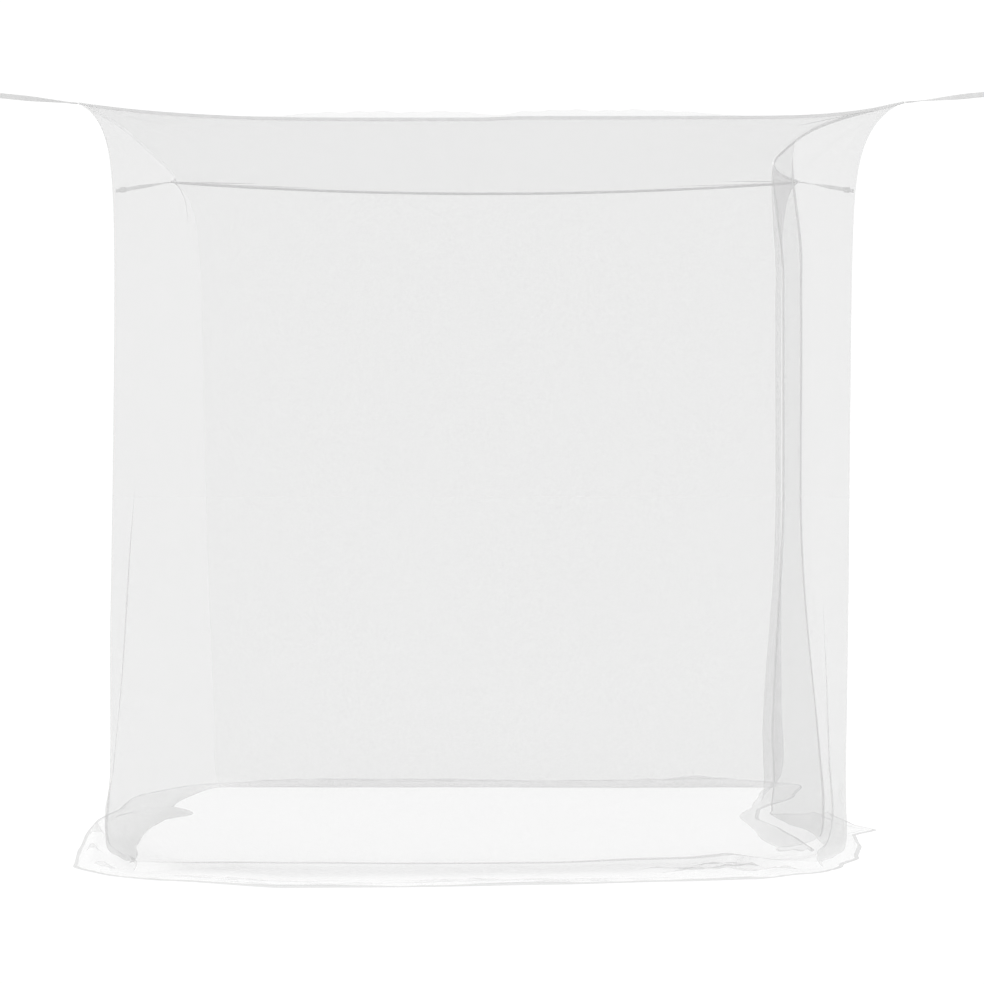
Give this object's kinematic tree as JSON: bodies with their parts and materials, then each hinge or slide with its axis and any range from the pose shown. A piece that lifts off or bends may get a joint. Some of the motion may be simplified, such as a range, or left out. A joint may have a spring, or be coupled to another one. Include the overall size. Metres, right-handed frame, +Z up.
{
  "type": "mosquito net canopy",
  "caption": "Box-shaped bed net of fine mesh, stretched by tape ties at its top corners, with an overlapped side entrance and a foot that pools on the floor.",
  "frame": {"origin": "on the floor, under the middle of the four ties' ends", "axes": "+Z up, +X to the net's right as seen from the front, the front wall faces -Y"},
  "size_m": [2.5254, 2.3254, 2.0141],
  "materials": {
    "netting": "fine white mesh, sheer and matt",
    "tape": "woven white tape, matt"
  },
  "bodies": {
    "root": {"roof_panel": "netting", "front_wall": "netting", "left_wall": "netting", "back_wall": "netting", "right_front_leaf": "netting", "right_rear_leaf": "netting", "binding_front": "tape", "binding_left": "tape", "binding_back": "tape", "binding_right": "tape", "tie_front_left": "tape", "tie_front_right": "tape", "tie_back_left": "tape", "tie_back_right": "tape"}
  },
  "joints": []
}
